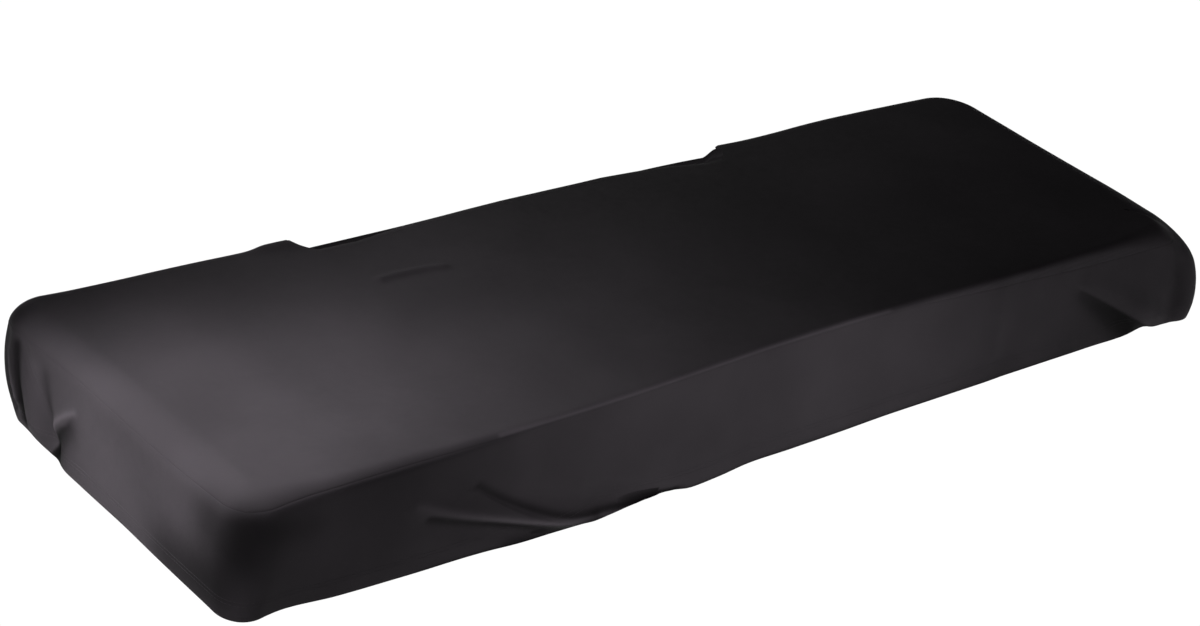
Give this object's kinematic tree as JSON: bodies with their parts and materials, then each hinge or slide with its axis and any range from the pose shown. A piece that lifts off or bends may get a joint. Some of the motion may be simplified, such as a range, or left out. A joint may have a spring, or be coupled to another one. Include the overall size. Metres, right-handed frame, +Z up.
{
  "type": "fitted piano cover",
  "caption": "Long, low stretch-cloth dust cover: a flat top panel on a shallow skirt with soft corners and an open slot along the rear edge.",
  "frame": {"origin": "under the middle of the cover, at the level of the hem it stands on", "axes": "+X along the long front towards its right end, +Y from the front to the side with the slot, +Z up through the top panel"},
  "size_m": [1.004, 0.3221, 0.0963],
  "materials": {
    "top_cloth": "matt black stretch knit with a broad soft sheen",
    "skirt_cloth": "matt black stretch knit with a broad soft sheen"
  },
  "bodies": {
    "root": {"top_panel": "top_cloth", "skirt": "skirt_cloth"}
  },
  "joints": []
}
